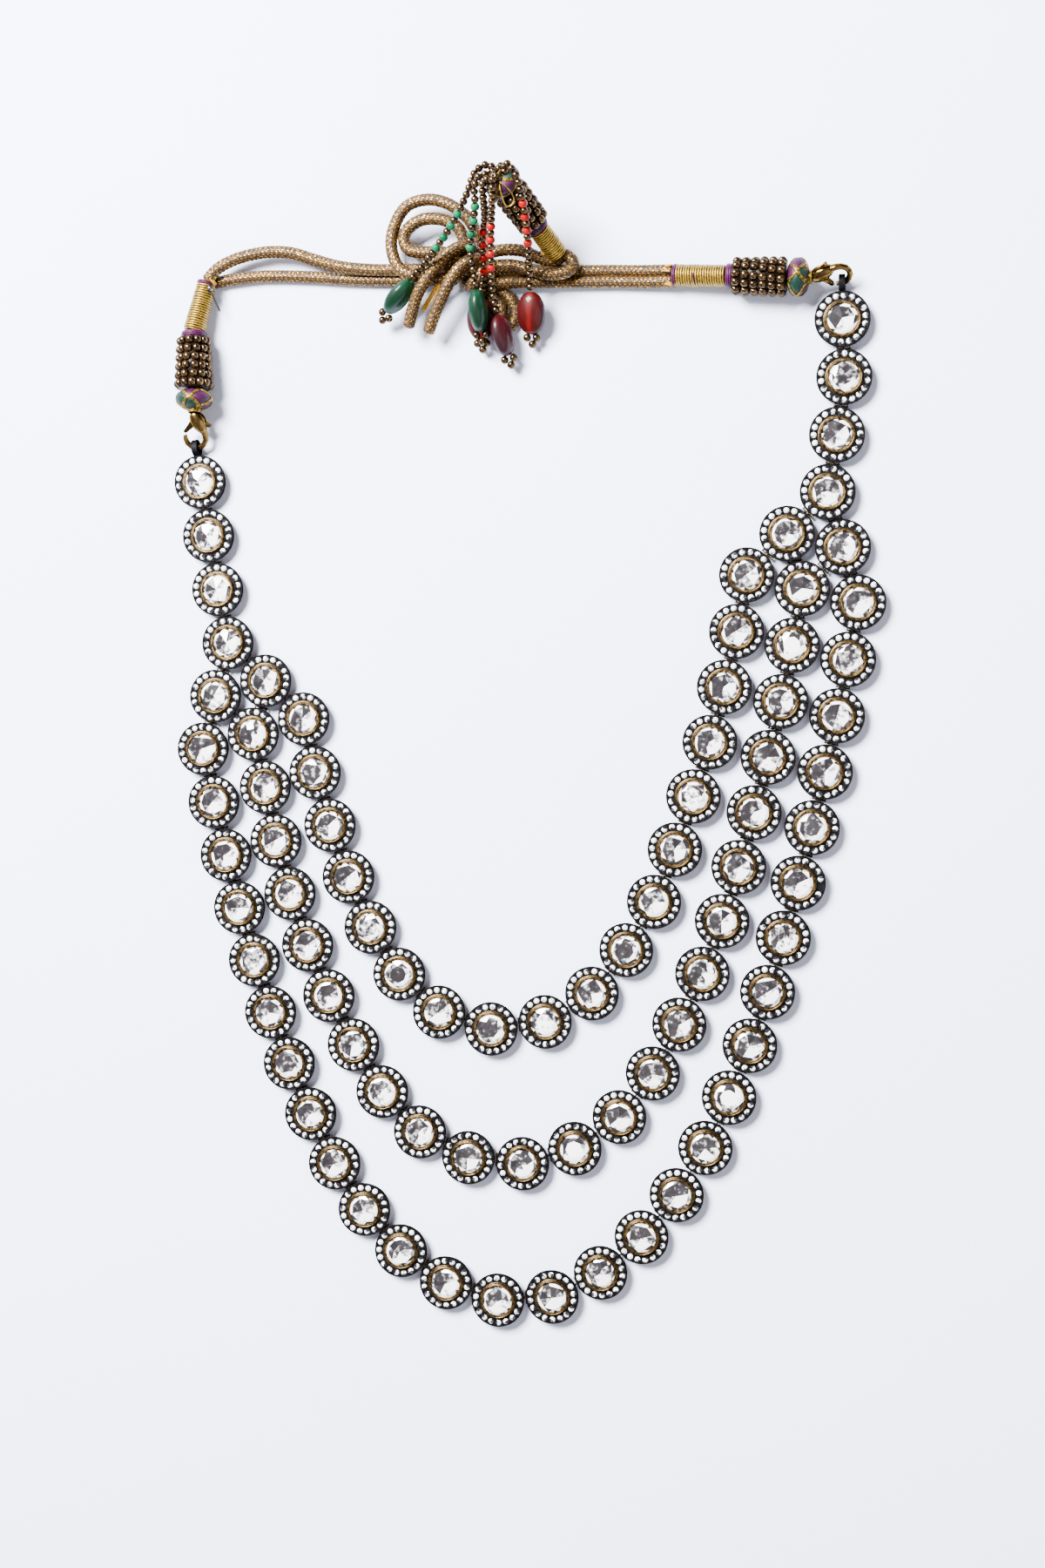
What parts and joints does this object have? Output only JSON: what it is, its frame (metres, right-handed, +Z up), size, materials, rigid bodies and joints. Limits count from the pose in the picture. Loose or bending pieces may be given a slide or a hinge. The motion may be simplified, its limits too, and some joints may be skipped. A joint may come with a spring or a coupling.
{
  "type": "kundan necklace",
  "caption": "Multi-strand necklace of round set stones on linked oxidised silver discs, hung by lobster clasps from a knotted gold cord with a beaded tassel.",
  "frame": {"origin": "on the surface that the necklace lies on, below the centre of the metal and bead work seen from above", "axes": "+Z up from the surface, +Y from the lowest setting towards the cord, +X to the right-hand clasp as it lies"},
  "size_m": [0.1808, 0.2876, 0.0288],
  "materials": {
    "dark_silver": "dark oxidised, satin",
    "main_stone": "foil-backed, polished",
    "antique_gold": "antique, satin",
    "gold_winding": "metal thread",
    "purple_thread": "silk thread",
    "bronze_bead": "metallic bronze lustre",
    "green_thread": "silk thread",
    "gold_cord": "knitted metal thread",
    "green_glass": "polished",
    "red_glass": "polished"
  },
  "bodies": {
    "necklace": {"settings_neck_right": "dark_silver", "settings_shoulder_right": "dark_silver", "settings_strand_inner": "dark_silver", "settings_strand_middle": "dark_silver", "settings_strand_outer": "dark_silver", "settings_shoulder_left": "dark_silver", "settings_neck_left": "dark_silver", "stones_neck_right": "main_stone", "stones_shoulder_right": "main_stone", "stones_strand_inner": "main_stone", "stones_strand_middle": "main_stone", "stones_strand_outer": "main_stone", "stones_shoulder_left": "main_stone", "stones_neck_left": "main_stone", "clasp_right": "antique_gold", "clasp_left": "antique_gold", "winding_right": "gold_winding", "winding_left": "gold_winding", "winding_tassel": "gold_winding", "band_right": "purple_thread", "band_left": "purple_thread", "band_tassel": "purple_thread", "barrel_right": "bronze_bead", "barrel_left": "bronze_bead", "barrel_tassel": "bronze_bead", "knob_right": "green_thread", "knob_left": "green_thread", "knob_tassel": "green_thread", "cord_knot": "gold_cord", "cord_right_upper": "gold_cord", "cord_right_lower": "gold_cord", "cord_left_upper": "gold_cord", "cord_left_lower": "gold_cord", "cord_loop_outer": "gold_cord", "cord_loop_inner": "gold_cord", "cord_end_left": "gold_cord", "cord_end_right": "gold_cord", "cord_tassel_hump": "gold_cord", "cord_tassel_turn": "gold_cord", "cord_low_loop": "gold_cord", "string_green_left": "bronze_bead", "string_green_middle": "bronze_bead", "string_red_hidden": "bronze_bead", "string_red_middle": "bronze_bead", "string_red_right": "bronze_bead", "oval_green_left": "green_glass", "oval_green_middle": "green_glass", "oval_red_hidden": "red_glass", "oval_red_middle": "red_glass", "oval_red_right": "red_glass", "tassel_end_beads": "bronze_bead"},
    "lever_right": {"lever_right": "antique_gold"},
    "lever_left": {"lever_left": "antique_gold"}
  },
  "joints": [
    {"name": "right_clasp_lever", "type": "hinge", "parent": "necklace", "child": "lever_right", "pos_m": [0.07358, 0.11775, 0.00531], "axis": [0.1148, -0.8137, 0.5699], "range_deg": [0, 22], "stiffness_Nm_per_rad": 0.0005, "springref_deg": -11.46},
    {"name": "left_clasp_lever", "type": "hinge", "parent": "necklace", "child": "lever_left", "pos_m": [-0.08435, 0.08705, 0.00506], "axis": [-0.0312, -0.357, 0.9336], "range_deg": [0, 22], "stiffness_Nm_per_rad": 0.0005, "springref_deg": -11.46}
  ]
}
